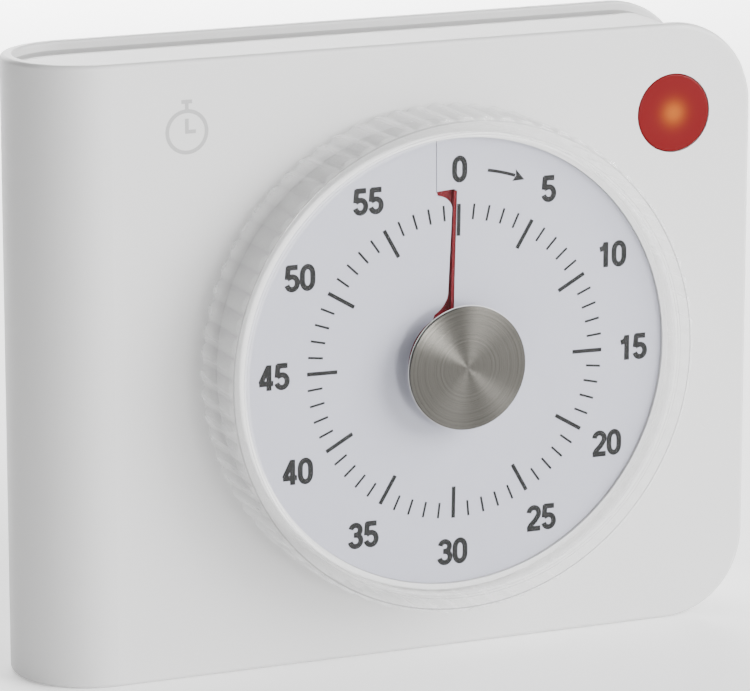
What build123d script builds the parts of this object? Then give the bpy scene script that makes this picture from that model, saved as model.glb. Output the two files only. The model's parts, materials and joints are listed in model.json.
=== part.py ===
from build123d import *
import math
import os

os.makedirs("parts", exist_ok=True)

# A desk visual timer. All sizes are in millimetres. The front looks along -Y, +Z is up, and the
# origin is under the middle of the whole object, on the surface that it stands on.

# ------------------------------------------------------------------ driving dimensions: housing
WIDTH = 125.0
HEIGHT = 101.0
BODY_DEPTH = 26.0  # front panel's face to rear panel's face
DIAL_STANDOFF = 13.6  # steel cap's face ahead of the front panel
WALL = 2.0
CORNER_RADIUS = 14.0  # free corners of both panels, on the right
EDGE_ROUND = 0.8  # outer edges of the wrap
RIM_ROUND = 0.45  # inner edges of the wrap
LEAD = 0.5
LEAD_PITCH = 2.54
SWITCH_HEIGHT = 5.0
SWITCH_WALL = 1.5
KNOB_WIDTH = 4.0
KNOB_ROUND = 0.6
KNOB_LINE = 0.4
COIL_WIDTH = 7.6
DOOR_GRIP = (10.0, 0.6)  # one grip line on the battery cover
DOOR_GRIP_LINES = 3
DOOR_GRIP_PITCH = 1.6
DOOR_GRIP_INSET = 4.0
# The slot for the red sheet, as points across and up from the dial's middle.
SLOT_HEEL = (-3.8, 8.1)
SLOT_STEM_FOOT = (-1.45, 11.2)
SLOT_STEM_HEAD = (-0.76, 25.4)
SLOT_FLAG_ROOT = (-3.3, 27.4)
SLOT_RIGHT_HEAD = (0.0, 26.4)
SLOT_FOOT_CURVE = (SLOT_HEEL, (-2.2, 9.5), SLOT_STEM_FOOT)
SLOT_FLAG_CURVE = (SLOT_STEM_HEAD, (-1.35, 26.5), SLOT_FLAG_ROOT)
SLOT_FLAG = (SLOT_FLAG_ROOT, (-3.5, 28.1), (-0.35, 28.35), (0.0, 27.8), SLOT_RIGHT_HEAD)
SLOT_HUB_END = (SLOT_RIGHT_HEAD, (-0.5, 6.4), (-4.4, 6.4), SLOT_HEEL)
SLIT_X = -3.55
SLIT_WIDTH = 0.12
SLIT_START = 28.0
RIM_STEP = 1.4  # core frame's wall below the edges of the panels
CORE_WALL = 1.8
SPINE_RADIUS = BODY_DEPTH / 2

# ------------------------------------------------------------------ driving dimensions: dial
DIAL_X = 5.5
DIAL_LIFT = -0.15  # dial's centre above the middle of the panel
COVER_RADIUS = 40.2  # valleys between the flutes
COVER_WALL = 2.0
COVER_FRONT = 13.0  # window's face ahead of the panel
COVER_CLEARANCE = 0.5  # cover's edge above the panel
WINDOW = 1.2
FLUTES = 72
FLUTE_RADIUS = 0.95
FLUTE_SINK = 0.3  # flutes' centres inside the cover's own radius
BASE_RADIUS = 37.7
BASE_RIM = 1.0
BASE_FLOOR = 2.0
BASE_LEDGE = 1.2
RIM_RISE = 0.6  # base's rim in front of the dial's face
DIAL_FACE = 8.9  # dial's printed face ahead of the panel
DIAL_SHEET = 0.5
DIAL_HOLE = 8.35
LEAF_RADIUS = 28.8
LEAF_HOLE = 7.0
LEAF_SHEET = 0.2
LEAF_PITCH = 0.4  # from one leaf's level to the next
LEAF_COUNT = 3
CAP_RADIUS = 10.1
CAP_SHEET = 0.5
SEAT_RADIUS = 10.2
SEAT_SHEET = 0.5
SEAT_STEM = 4.0
HUB_RADIUS = 6.5
SPINDLE_RADIUS = 1.5
RUNNING = 0.05  # radial clearance of a shaft in its bearing

# ------------------------------------------------------------------ driving dimensions: movement
PLATE_RADIUS = 36.4
PLATE_SHEET = 1.2
CASE_BACK = 12.5  # case's open edge behind the panel's face
LID_SHEET = 1.2
CASE_WALL = 1.2
CASE_LEFT, CASE_RIGHT = -18.0, 25.0  # from the dial's axis
CASE_LOW, CASE_HIGH = -42.0, 17.5
GEAR_MODULE = 0.6
MAIN_TEETH, PINION_TEETH = 48, 12
WHEEL_TEETH, ROTOR_TEETH = 40, 10
BOSS_RADIUS = 7.9  # base's bearing boss through the front panel
BASE_SCREW_CIRCLE = 33.0
LID_POST_RADIUS = 2.7

# ------------------------------------------------------------------ driving dimensions: electrics
LENS_X, LENS_LIFT = 48.4, 35.7  # from the middle of the panel
LENS_RADIUS = 6.45
LENS_FLANGE = 8.0
LED_RADIUS = 2.5
BOARD_FRONT = 17.4  # board's front behind the panel's face
BOARD_SHEET = 1.6
BOARD_LEFT, BOARD_RIGHT = -12.0, 56.0
BOARD_HALF_HEIGHT = 40.0
BUZZER_X, BUZZER_LIFT = 43.0, -16.0
BUZZER_RADIUS = 9.0
SLIDER_X = 31.0
VOLUME_LIFT, DURATION_LIFT = 26.0, 3.0
VOLUME_TRAVEL, DURATION_TRAVEL = 3.0, 2.0  # each way from the middle

# ------------------------------------------------------------------ driving dimensions: battery box
BATTERY_X = -31.5
CELL_RADIUS = 7.15
CELL_SPACING = 15.4
CELL_BODY = 49.5
CELL_NUB = 1.0
TRAY_WALL = 1.2
TRAY_WIDTH, TRAY_LENGTH = 34.8, 58.0
TRAY_FRONT = 7.3  # tray's floor behind the panel's face
OPENING_WIDTH, OPENING_LENGTH = 32.0, 55.6
COVER_GAP = 0.2
CONTACT_SHEET = 0.4

# ------------------------------------------------------------------ derived places
PANEL_Y = DIAL_STANDOFF - (BODY_DEPTH + DIAL_STANDOFF) / 2
REAR_Y = PANEL_Y + BODY_DEPTH
MIDDLE_Y = PANEL_Y + BODY_DEPTH / 2
LEFT_X = -WIDTH / 2
RIGHT_X = WIDTH / 2
SPINE_X = LEFT_X + SPINE_RADIUS
TINY = 0.01

# Both planes look out of the front: +X to the right, +Z up, and offsets go towards the viewer.
PANEL = Plane(origin=(0, PANEL_Y, HEIGHT / 2), x_dir=(1, 0, 0), z_dir=(0, -1, 0))
DIAL = Plane(origin=(DIAL_X, PANEL_Y, HEIGHT / 2 + DIAL_LIFT), x_dir=(1, 0, 0), z_dir=(0, -1, 0))


def save(piece, label):
    """Label a finished piece and write it as its own file."""
    piece.part.label = label
    export_step(piece.part, f"parts/{label}.step")


def polar(radius, degrees, centre=(0.0, 0.0)):
    """Point at a radius and an angle, counted from +X towards +Z, around a centre."""
    angle = math.radians(degrees)
    return (centre[0] + radius * math.cos(angle), centre[1] + radius * math.sin(angle))


def gear_points(teeth, centre, tooth_at):
    """Outline of a straight-flanked gear with one tooth pointing in the direction tooth_at."""
    pitch_radius = teeth * GEAR_MODULE / 2
    half_pitch_tooth = 0.4 * math.pi * GEAR_MODULE / 2
    stations = (
        (pitch_radius - 1.15 * GEAR_MODULE, 1.25 * half_pitch_tooth),
        (pitch_radius + 0.80 * GEAR_MODULE, 0.50 * half_pitch_tooth),
    )
    points = []
    for tooth in range(teeth):
        middle = tooth_at + 360 * tooth / teeth
        (root, root_half), (tip, tip_half) = stations
        for radius, half in ((root, -root_half), (tip, -tip_half), (tip, tip_half), (root, root_half)):
            points.append(polar(radius, middle + math.degrees(half / radius), centre))
    return points


def screw_group(plane, places, head_radius, head_height, shank_radius, length):
    """Pan-head screws with cross slots. The plane holds the undersides of the heads, outwards."""
    with BuildPart() as screws:
        with BuildSketch(plane):
            with Locations(*places):
                Circle(head_radius)
        extrude(amount=head_height)
        heads = screws.faces().group_by(Axis(plane.origin, plane.z_dir))[-1]
        fillet(heads.edges(), 0.2)
        with BuildSketch(plane):
            with Locations(*places):
                Circle(shank_radius)
        extrude(amount=-length)
        with BuildSketch(plane.offset(head_height)):
            with Locations(*places):
                Rectangle(1.3 * head_radius, 0.28 * head_radius)
                Rectangle(0.28 * head_radius, 1.3 * head_radius)
        extrude(amount=-0.6 * head_height, mode=Mode.SUBTRACT)
    return screws


# ================================================================== places shared by several pieces
rear_plane = Plane(origin=(0, REAR_Y, HEIGHT / 2), x_dir=(1, 0, 0), z_dir=(0, -1, 0))
base_screw_places = [polar(BASE_SCREW_CIRCLE, degrees) for degrees in (90, 210, 330)]
post_places = [(x, lift) for x in (SPINE_X + 5.5, 50.0) for lift in (-44.9, 44.9)]
lid_screw_places = [(-14.5, 14.0), (21.5, 14.0), (-14.5, -38.5)]
reduction_centre = (0.0, -(MAIN_TEETH + PINION_TEETH) * GEAR_MODULE / 2)
rotor_centre = (9.0, reduction_centre[1] - 12.0)
rotor_direction = math.degrees(math.atan2(rotor_centre[1] - reduction_centre[1], rotor_centre[0]))
cell_places = [(BATTERY_X - CELL_SPACING / 2, 1), (BATTERY_X + CELL_SPACING / 2, -1)]
cell_depth = BODY_DEPTH - WALL - 0.6 - CELL_RADIUS
slider_places = (("volume", VOLUME_LIFT, VOLUME_TRAVEL), ("duration", DURATION_LIFT, DURATION_TRAVEL))

POST_RADIUS = 3.0
POST_FRONT = 12.0  # posts' ends behind the panel's face
HOUSING_SHANK = 1.3
COUNTERBORE = 2.7
SLIDER_POCKET = (14.0, 7.0)
SLIDER_POCKET_DEPTH = 1.2
SLIDER_SLOT_HEIGHT = 2.4
SLIDER_STEM = 2.0
SLIDER_STEM_FRONT = 21.5
GRILLE_HOLE = 0.8
GRILLE_CIRCLE = 4.0

# ================================================================== housing
# One moulded wrap: front panel, round spine and rear panel.
with BuildPart() as wrap_shell:
    with BuildSketch(Plane.XY):
        with Locations((SPINE_X, MIDDLE_Y)):
            Circle(SPINE_RADIUS)
        with Locations(((SPINE_X + RIGHT_X) / 2, MIDDLE_Y)):
            Rectangle(RIGHT_X - SPINE_X, BODY_DEPTH)
    extrude(amount=HEIGHT)
    fillet(wrap_shell.edges().filter_by(Axis.Y).group_by(Axis.X)[-1], CORNER_RADIUS)
    outline = wrap_shell.edges().filter_by(Axis.Y, reverse=True)
    outline = outline.filter_by(lambda edge: abs(edge.center().X - SPINE_X) > TINY)
    fillet(outline, EDGE_ROUND)
    with BuildSketch(Plane.XY):
        with Locations((SPINE_X, MIDDLE_Y)):
            Circle(SPINE_RADIUS - WALL)
        with Locations(((SPINE_X + RIGHT_X) / 2 + WALL, MIDDLE_Y)):
            Rectangle(RIGHT_X - SPINE_X + 2 * WALL, BODY_DEPTH - 2 * WALL)
    extrude(amount=HEIGHT, mode=Mode.SUBTRACT)
    inner_faces = wrap_shell.faces().filter_by(Axis.Y).group_by(Axis.Y)[1:3]
    inner_rim = [edge for group in inner_faces for edge in group.edges()]
    inner_rim += wrap_shell.edges().filter_by(GeomType.CIRCLE).filter_by(
        lambda edge: abs(edge.radius - SPINE_RADIUS + WALL) < TINY
    )
    fillet([edge for edge in inner_rim if abs(edge.center().X - SPINE_X) > TINY], RIM_ROUND)
    # Signal lens, bearing boss and dial screws in the front panel.
    with BuildSketch(PANEL):
        with Locations((LENS_X, LENS_LIFT)):
            Circle(LENS_RADIUS + 0.1)
    extrude(amount=-WALL, mode=Mode.SUBTRACT)
    with BuildSketch(DIAL):
        Circle(BOSS_RADIUS)
        with Locations(*base_screw_places):
            Circle(1.4)
    extrude(amount=-WALL, mode=Mode.SUBTRACT)
    # Battery opening, housing screws, switch slots and sound holes in the rear panel.
    with BuildSketch(rear_plane):
        with Locations((BATTERY_X, 0)):
            RectangleRounded(OPENING_WIDTH, OPENING_LENGTH, 2.0)
        with Locations(*post_places):
            Circle(HOUSING_SHANK + 0.1)
        with Locations((BUZZER_X, BUZZER_LIFT)):
            Circle(GRILLE_HOLE)
            with PolarLocations(GRILLE_CIRCLE, 6):
                Circle(GRILLE_HOLE)
        for _, lift, travel in slider_places:
            with Locations((SLIDER_X, lift)):
                Rectangle(SLIDER_STEM + 2 * travel + 0.4, SLIDER_SLOT_HEIGHT)
    extrude(amount=WALL, mode=Mode.SUBTRACT)
    with BuildSketch(rear_plane):
        with Locations(*post_places):
            Circle(COUNTERBORE)
        for _, lift, _ in slider_places:
            with Locations((SLIDER_X, lift)):
                RectangleRounded(*SLIDER_POCKET, 1.2)
        # Finger notch over the battery cover's catch.
        with Locations((BATTERY_X, OPENING_LENGTH / 2)):
            Circle(5.0)
    extrude(amount=SLIDER_POCKET_DEPTH, mode=Mode.SUBTRACT)
save(wrap_shell, "wrap_shell")

# The inset wall between the panels, with the posts that the housing screws pull on.
core_outer_radius = SPINE_RADIUS - WALL
with BuildPart() as core_frame:
    with BuildSketch(Plane.XY.offset(RIM_STEP)):
        with Locations((SPINE_X, MIDDLE_Y)):
            Circle(core_outer_radius)
        with Locations(((SPINE_X + RIGHT_X - RIM_STEP) / 2, MIDDLE_Y)):
            Rectangle(RIGHT_X - RIM_STEP - SPINE_X, 2 * core_outer_radius)
    extrude(amount=HEIGHT - 2 * RIM_STEP)
    fillet(core_frame.edges().filter_by(Axis.Y).group_by(Axis.X)[-1], CORNER_RADIUS - RIM_STEP)
    inner_right = RIGHT_X - RIM_STEP - CORE_WALL
    inner_height = HEIGHT - 2 * (RIM_STEP + CORE_WALL)
    with BuildSketch(PANEL):
        with BuildLine():
            Polyline(
                (inner_right, inner_height / 2),
                (LEFT_X - 1, inner_height / 2),
                (LEFT_X - 1, -inner_height / 2),
                (inner_right, -inner_height / 2),
                close=True,
            )
        make_face()
        fillet(vertices().group_by(Axis.X)[-1], CORNER_RADIUS - RIM_STEP - CORE_WALL)
    extrude(amount=-BODY_DEPTH, mode=Mode.SUBTRACT)
    with BuildSketch(PANEL.offset(-POST_FRONT)):
        with Locations(*post_places):
            Circle(POST_RADIUS)
    extrude(amount=-(BODY_DEPTH - WALL - POST_FRONT))
    with BuildSketch(rear_plane.offset(WALL)):
        with Locations(*post_places):
            Circle(HOUSING_SHANK)
    extrude(amount=9.0, mode=Mode.SUBTRACT)
save(core_frame, "core_frame")

housing_screws = screw_group(
    Plane(
        origin=(0, REAR_Y - SLIDER_POCKET_DEPTH, HEIGHT / 2),
        x_dir=(1, 0, 0),
        z_dir=(0, 1, 0),
    ),
    [(x, -lift) for x, lift in post_places],
    2.5,
    1.0,
    HOUSING_SHANK,
    8.0,
)
save(housing_screws, "housing_screws")

# ================================================================== signal lamp
with BuildPart() as signal_lens:
    with BuildSketch(PANEL):
        with Locations((LENS_X, LENS_LIFT)):
            Circle(LENS_RADIUS)
    extrude(amount=-WALL)
    with BuildSketch(PANEL.offset(-WALL)):
        with Locations((LENS_X, LENS_LIFT)):
            Circle(LENS_FLANGE)
    extrude(amount=-1.2)
    fillet(signal_lens.faces().sort_by(Axis.Y)[0].edges(), 0.25)
save(signal_lens, "signal_lens")

LED_BACK = 11.0  # end of the lamp's body behind the panel's face
with BuildPart() as signal_led:
    with BuildSketch(PANEL.offset(-LED_BACK)):
        with Locations((LENS_X, LENS_LIFT)):
            Circle(LED_RADIUS + 0.4)
    extrude(amount=1.0)
    with BuildSketch(PANEL.offset(-LED_BACK + 1.0)):
        with Locations((LENS_X, LENS_LIFT)):
            Circle(LED_RADIUS)
    extrude(amount=5.5)
    fillet(signal_led.faces().sort_by(Axis.Y)[0].edges(), 2.2)
    with BuildSketch(PANEL.offset(-BOARD_FRONT)):
        with Locations((LENS_X - LEAD_PITCH / 2, LENS_LIFT), (LENS_X + LEAD_PITCH / 2, LENS_LIFT)):
            Rectangle(LEAD, LEAD)
    extrude(amount=BOARD_FRONT - LED_BACK)
save(signal_led, "signal_led")

# ================================================================== dial base and dial
BOSS_FRONT = 5.0  # bearing boss's front ahead of the panel
BOSS_TUBE = 4.5
with BuildPart() as dial_base:
    with BuildSketch(DIAL):
        Circle(BASE_RADIUS)
    extrude(amount=DIAL_FACE + RIM_RISE)
    fillet(dial_base.faces().sort_by(Axis.Y)[0].edges(), 0.3)
    with BuildSketch(DIAL.offset(BASE_FLOOR)):
        Circle(BASE_RADIUS - BASE_RIM - BASE_LEDGE)
    extrude(amount=DIAL_FACE, mode=Mode.SUBTRACT)
    with BuildSketch(DIAL.offset(DIAL_FACE - DIAL_SHEET)):
        Circle(BASE_RADIUS - BASE_RIM)
    extrude(amount=DIAL_FACE, mode=Mode.SUBTRACT)
    with BuildSketch(DIAL.offset(BASE_FLOOR)):
        Circle(BOSS_TUBE)
        with Locations(*base_screw_places):
            Circle(2.6)
    extrude(amount=BOSS_FRONT - BASE_FLOOR)
    with BuildSketch(DIAL):
        Circle(BOSS_RADIUS)
    extrude(amount=-WALL)
    with BuildSketch(DIAL.offset(BOSS_FRONT)):
        Circle(SPINDLE_RADIUS + RUNNING)
    extrude(amount=-(BOSS_FRONT + WALL), mode=Mode.SUBTRACT)
    with BuildSketch(DIAL):
        with Locations(*base_screw_places):
            Circle(1.25)
    extrude(amount=4.0, mode=Mode.SUBTRACT)
save(dial_base, "dial_base")

# The printed disc. The red sheet comes out of its slot, which has a flared foot at the hub and a
# flag at its outer end; a fine cut from the flag to the edge lets the two sheets be threaded.
with BuildPart() as dial_plate:
    with BuildSketch(DIAL.offset(DIAL_FACE)):
        Circle(BASE_RADIUS - BASE_RIM - 0.05)
        Circle(DIAL_HOLE, mode=Mode.SUBTRACT)
        with BuildLine():
            Spline(*SLOT_FOOT_CURVE)
            Line(SLOT_STEM_FOOT, SLOT_STEM_HEAD)
            Spline(*SLOT_FLAG_CURVE)
            Polyline(*SLOT_FLAG)
            Polyline(*SLOT_HUB_END)
        make_face(mode=Mode.SUBTRACT)
        with Locations((SLIT_X, (SLIT_START + BASE_RADIUS) / 2)):
            Rectangle(SLIT_WIDTH, BASE_RADIUS - SLIT_START, mode=Mode.SUBTRACT)
    extrude(amount=-DIAL_SHEET)
save(dial_plate, "dial_plate")

base_screws = screw_group(
    Plane(
        origin=DIAL.offset(-WALL - PLATE_SHEET).origin,
        x_dir=(1, 0, 0),
        z_dir=(0, 1, 0),
    ),
    [(x, -lift) for x, lift in base_screw_places],
    2.4,
    1.4,
    1.25,
    WALL + PLATE_SHEET + 3.5,
)
save(base_screws, "base_screws")

# The thin red sheet, folded behind the dial: three sectors of a third of a turn, each on its own
# level, that fan out one after the other as the dial is wound up.
leaf_turn = 360 / LEAF_COUNT
for index in range(LEAF_COUNT):
    level = DIAL_FACE - DIAL_SHEET - LEAF_SHEET - LEAF_PITCH * (LEAF_COUNT - index - 1) - 0.2
    with BuildPart() as leaf:
        with BuildSketch(DIAL.offset(level)):
            with BuildLine():
                CenterArc((0, 0), LEAF_RADIUS, 90, leaf_turn)
                CenterArc((0, 0), LEAF_HOLE, 90, leaf_turn)
                Line(polar(LEAF_HOLE, 90), polar(LEAF_RADIUS, 90))
                Line(polar(LEAF_HOLE, 90 + leaf_turn), polar(LEAF_RADIUS, 90 + leaf_turn))
            make_face()
        extrude(amount=LEAF_SHEET)
    save(leaf, f"red_leaf_{index + 1}")

# ================================================================== what turns with the dial cover
window_back = COVER_FRONT - WINDOW
cover_inner = COVER_RADIUS - COVER_WALL
with BuildPart() as clear_cover:
    with BuildSketch(DIAL.offset(COVER_CLEARANCE)):
        Circle(COVER_RADIUS)
        with PolarLocations(COVER_RADIUS - FLUTE_SINK, FLUTES):
            Circle(FLUTE_RADIUS)
    extrude(amount=COVER_FRONT - 1.0 - COVER_CLEARANCE)
    with BuildSketch(DIAL.offset(COVER_FRONT - 1.0)):
        Circle(COVER_RADIUS)
    extrude(amount=1.0)
    fillet(clear_cover.faces().sort_by(Axis.Y)[0].edges(), 0.7)
    with BuildSketch(DIAL.offset(COVER_CLEARANCE)):
        Circle(cover_inner)
    extrude(amount=window_back - COVER_CLEARANCE, mode=Mode.SUBTRACT)
    with BuildSketch(DIAL.offset(COVER_FRONT)):
        Circle(SEAT_STEM)
    extrude(amount=-WINDOW, mode=Mode.SUBTRACT)
save(clear_cover, "clear_cover")

with BuildPart() as cap_seat:
    with BuildSketch(DIAL.offset(COVER_FRONT)):
        Circle(SEAT_RADIUS)
    extrude(amount=DIAL_STANDOFF - CAP_SHEET - COVER_FRONT)
    with BuildSketch(DIAL.offset(COVER_FRONT)):
        Circle(SEAT_STEM)
    extrude(amount=-WINDOW)
save(cap_seat, "cap_seat")

with BuildPart() as steel_cap:
    with BuildSketch(DIAL.offset(DIAL_STANDOFF)):
        Circle(CAP_RADIUS)
    extrude(amount=-CAP_SHEET)
    fillet(steel_cap.faces().sort_by(Axis.Y)[0].edges(), 0.15)
save(steel_cap, "steel_cap")

HUB_BACK = 5.4  # hub's back ahead of the panel
with BuildPart() as dial_hub:
    with BuildSketch(DIAL.offset(HUB_BACK)):
        Circle(HUB_RADIUS)
        Circle(SPINDLE_RADIUS, mode=Mode.SUBTRACT)
    extrude(amount=window_back - HUB_BACK)
save(dial_hub, "dial_hub")

with BuildPart() as spindle:
    with BuildSketch(DIAL.offset(window_back)):
        Circle(SPINDLE_RADIUS)
    extrude(amount=-(window_back + CASE_BACK + LID_SHEET + 0.6))
    chamfer(spindle.faces().sort_by(Axis.Y)[-1].edges(), 0.3)
save(spindle, "spindle")

# ================================================================== movement
gear_levels = {"main": (4.2, 6.0), "pinion": (3.8, 6.5), "wheel": (6.8, 8.2), "rotor": (6.5, 8.4)}

with BuildPart() as main_gear:
    with BuildSketch(DIAL.offset(-gear_levels["main"][0])):
        with BuildLine():
            Polyline(*gear_points(MAIN_TEETH, (0, 0), -90), close=True)
        make_face()
        with PolarLocations(8.6, 5):
            Circle(2.6, mode=Mode.SUBTRACT)
    extrude(amount=gear_levels["main"][0] - gear_levels["main"][1])
    with BuildSketch(DIAL.offset(-gear_levels["main"][0])):
        Circle(3.0)
    extrude(amount=gear_levels["main"][0] - gear_levels["main"][1] - 0.4)
    with BuildSketch(DIAL):
        Circle(SPINDLE_RADIUS)
    extrude(amount=-CASE_BACK, mode=Mode.SUBTRACT)
save(main_gear, "main_gear")

# Dished washer that lets the dial be set by hand against the train.
with BuildPart() as clutch_washer:
    with BuildSketch(DIAL.offset(-3.5)):
        Circle(4.6)
        Circle(SPINDLE_RADIUS, mode=Mode.SUBTRACT)
    extrude(amount=-0.4)
save(clutch_washer, "clutch_washer")

AXLE_RADIUS = 0.8
with BuildPart() as reduction_gear:
    with BuildSketch(DIAL.offset(-gear_levels["pinion"][0])):
        with BuildLine():
            Polyline(
                *gear_points(PINION_TEETH, reduction_centre, 90 + 180 / PINION_TEETH), close=True
            )
        make_face()
    extrude(amount=gear_levels["pinion"][0] - gear_levels["wheel"][0])
    with BuildSketch(DIAL.offset(-gear_levels["wheel"][0])):
        with BuildLine():
            Polyline(*gear_points(WHEEL_TEETH, reduction_centre, rotor_direction), close=True)
        make_face()
        with Locations(reduction_centre):
            with PolarLocations(7.6, 4):
                Circle(2.3, mode=Mode.SUBTRACT)
    extrude(amount=gear_levels["wheel"][0] - gear_levels["wheel"][1])
    with BuildSketch(DIAL):
        with Locations(reduction_centre):
            Circle(AXLE_RADIUS + RUNNING)
    extrude(amount=-CASE_BACK, mode=Mode.SUBTRACT)
save(reduction_gear, "reduction_gear")

with BuildPart() as reduction_axle:
    with BuildSketch(DIAL.offset(-WALL)):
        with Locations(reduction_centre):
            Circle(AXLE_RADIUS)
    extrude(amount=-(CASE_BACK + LID_SHEET - WALL))
save(reduction_axle, "reduction_axle")

MAGNET_RADIUS = 3.0
ROTOR_PIVOT = 0.5
with BuildPart() as motor_rotor:
    with BuildSketch(DIAL.offset(-gear_levels["rotor"][0])):
        with BuildLine():
            points = gear_points(
                ROTOR_TEETH, rotor_centre, rotor_direction + 180 + 180 / ROTOR_TEETH
            )
            Polyline(*points, close=True)
        make_face()
    extrude(amount=gear_levels["rotor"][0] - gear_levels["rotor"][1])
    with BuildSketch(DIAL.offset(-gear_levels["rotor"][1])):
        with Locations(rotor_centre):
            Circle(1.2)
    extrude(amount=-0.6)
    with BuildSketch(DIAL.offset(-gear_levels["rotor"][1] - 0.6)):
        with Locations(rotor_centre):
            Circle(MAGNET_RADIUS)
    extrude(amount=-2.2)
    with BuildSketch(DIAL.offset(-WALL - 0.3)):
        with Locations(rotor_centre):
            Circle(ROTOR_PIVOT)
    extrude(amount=-(CASE_BACK + LID_SHEET - WALL - 0.5))
save(motor_rotor, "motor_rotor")

# U-shaped laminated stator: two legs from the coil's core to the ring round the magnet.
STATOR_LEVEL = 9.7
STATOR_SHEET = 0.8
CORE_X = rotor_centre[0] + 10.5
CORE_HALF = 9.4
BAR = 3.0
with BuildPart() as motor_stator:
    with BuildSketch(DIAL.offset(-STATOR_LEVEL)):
        with Locations(rotor_centre):
            Rectangle(10.0, 2 * CORE_HALF)
            Circle(MAGNET_RADIUS + 0.6, mode=Mode.SUBTRACT)
        for side in (-1, 1):
            with Locations(
                ((rotor_centre[0] + CORE_X) / 2, rotor_centre[1] + side * (CORE_HALF - BAR / 2))
            ):
                Rectangle(CORE_X - rotor_centre[0], BAR)
        with Locations((CORE_X, rotor_centre[1])):
            Rectangle(BAR, 2 * CORE_HALF)
    extrude(amount=-STATOR_SHEET)
save(motor_stator, "motor_stator")

COIL_THICKNESS = 4.8
with BuildPart() as motor_coil:
    with BuildSketch(DIAL.offset(-STATOR_LEVEL - STATOR_SHEET / 2 + COIL_THICKNESS / 2)):
        with Locations((CORE_X, rotor_centre[1])):
            RectangleRounded(COIL_WIDTH, 2 * (CORE_HALF - BAR) - 1.0, 1.0)
    extrude(amount=-COIL_THICKNESS)
    with BuildSketch(DIAL.offset(-STATOR_LEVEL)):
        with Locations((CORE_X, rotor_centre[1])):
            Rectangle(BAR, 2 * CORE_HALF)
    extrude(amount=-STATOR_SHEET, mode=Mode.SUBTRACT)
save(motor_coil, "motor_coil")

# Round mounting plate with the movement's case on its back.
case_middle = ((CASE_LEFT + CASE_RIGHT) / 2, (CASE_LOW + CASE_HIGH) / 2)
case_size = (CASE_RIGHT - CASE_LEFT, CASE_HIGH - CASE_LOW)
with BuildPart() as movement_case:
    with BuildSketch(DIAL.offset(-WALL)):
        Circle(PLATE_RADIUS)
        with Locations(case_middle):
            RectangleRounded(*case_size, 2.0)
    extrude(amount=-PLATE_SHEET)
    with BuildSketch(DIAL.offset(-WALL - PLATE_SHEET)):
        with Locations(case_middle):
            RectangleRounded(*case_size, 2.0)
            inside = (case_size[0] - 2 * CASE_WALL, case_size[1] - 2 * CASE_WALL)
            RectangleRounded(*inside, 1.0, mode=Mode.SUBTRACT)
        with Locations(*lid_screw_places):
            Circle(LID_POST_RADIUS)
    extrude(amount=-(CASE_BACK - WALL - PLATE_SHEET))
    with BuildSketch(DIAL.offset(-WALL)):
        Circle(SPINDLE_RADIUS + RUNNING)
        with Locations(reduction_centre):
            Circle(AXLE_RADIUS)
        with Locations(rotor_centre):
            Circle(ROTOR_PIVOT + RUNNING)
        with Locations(*base_screw_places):
            Circle(1.25)
    extrude(amount=-PLATE_SHEET, mode=Mode.SUBTRACT)
    with BuildSketch(DIAL.offset(-CASE_BACK)):
        with Locations(*lid_screw_places):
            Circle(0.9)
    extrude(amount=6.0, mode=Mode.SUBTRACT)
save(movement_case, "movement_case")

with BuildPart() as movement_lid:
    with BuildSketch(DIAL.offset(-CASE_BACK)):
        with Locations(case_middle):
            RectangleRounded(*case_size, 2.0)
    extrude(amount=-LID_SHEET)
    with BuildSketch(DIAL.offset(-CASE_BACK - LID_SHEET)):
        with Locations(*lid_screw_places):
            Circle(LID_POST_RADIUS)
    extrude(amount=-(BOARD_FRONT - CASE_BACK - LID_SHEET))
    with BuildSketch(DIAL.offset(-CASE_BACK)):
        Circle(SPINDLE_RADIUS + RUNNING)
        with Locations(reduction_centre):
            Circle(AXLE_RADIUS)
        with Locations(rotor_centre):
            Circle(ROTOR_PIVOT + RUNNING)
        with Locations(*lid_screw_places):
            Circle(0.9)
    extrude(amount=-(BOARD_FRONT - CASE_BACK), mode=Mode.SUBTRACT)
save(movement_lid, "movement_lid")

# ================================================================== electronics
board_middle = (BOARD_LEFT + BOARD_RIGHT) / 2
with BuildPart() as circuit_board:
    with BuildSketch(PANEL.offset(-BOARD_FRONT)):
        with Locations((board_middle, 0)):
            RectangleRounded(BOARD_RIGHT - BOARD_LEFT, 2 * BOARD_HALF_HEIGHT, 1.0)
    extrude(amount=-BOARD_SHEET)
    with BuildSketch(DIAL.offset(-BOARD_FRONT)):
        with Locations(*lid_screw_places):
            Circle(0.9)
    extrude(amount=-BOARD_SHEET, mode=Mode.SUBTRACT)
save(circuit_board, "circuit_board")

board_screws = screw_group(
    Plane(
        origin=DIAL.offset(-BOARD_FRONT - BOARD_SHEET).origin,
        x_dir=(1, 0, 0),
        z_dir=(0, 1, 0),
    ),
    [(x, -lift) for x, lift in lid_screw_places],
    1.8,
    1.1,
    0.9,
    BOARD_SHEET + BOARD_FRONT - CASE_BACK + 4.0,
)
save(board_screws, "board_screws")

with BuildPart() as buzzer:
    with BuildSketch(PANEL.offset(-BOARD_FRONT - BOARD_SHEET)):
        with Locations((BUZZER_X, BUZZER_LIFT)):
            Circle(BUZZER_RADIUS)
    extrude(amount=-4.4)
    fillet(buzzer.faces().sort_by(Axis.Y)[-1].edges(), 0.5)
    with BuildSketch(PANEL.offset(-BOARD_FRONT - BOARD_SHEET - 4.4)):
        with Locations((BUZZER_X, BUZZER_LIFT)):
            Circle(1.5)
    extrude(amount=2.5, mode=Mode.SUBTRACT)
save(buzzer, "buzzer")

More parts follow.
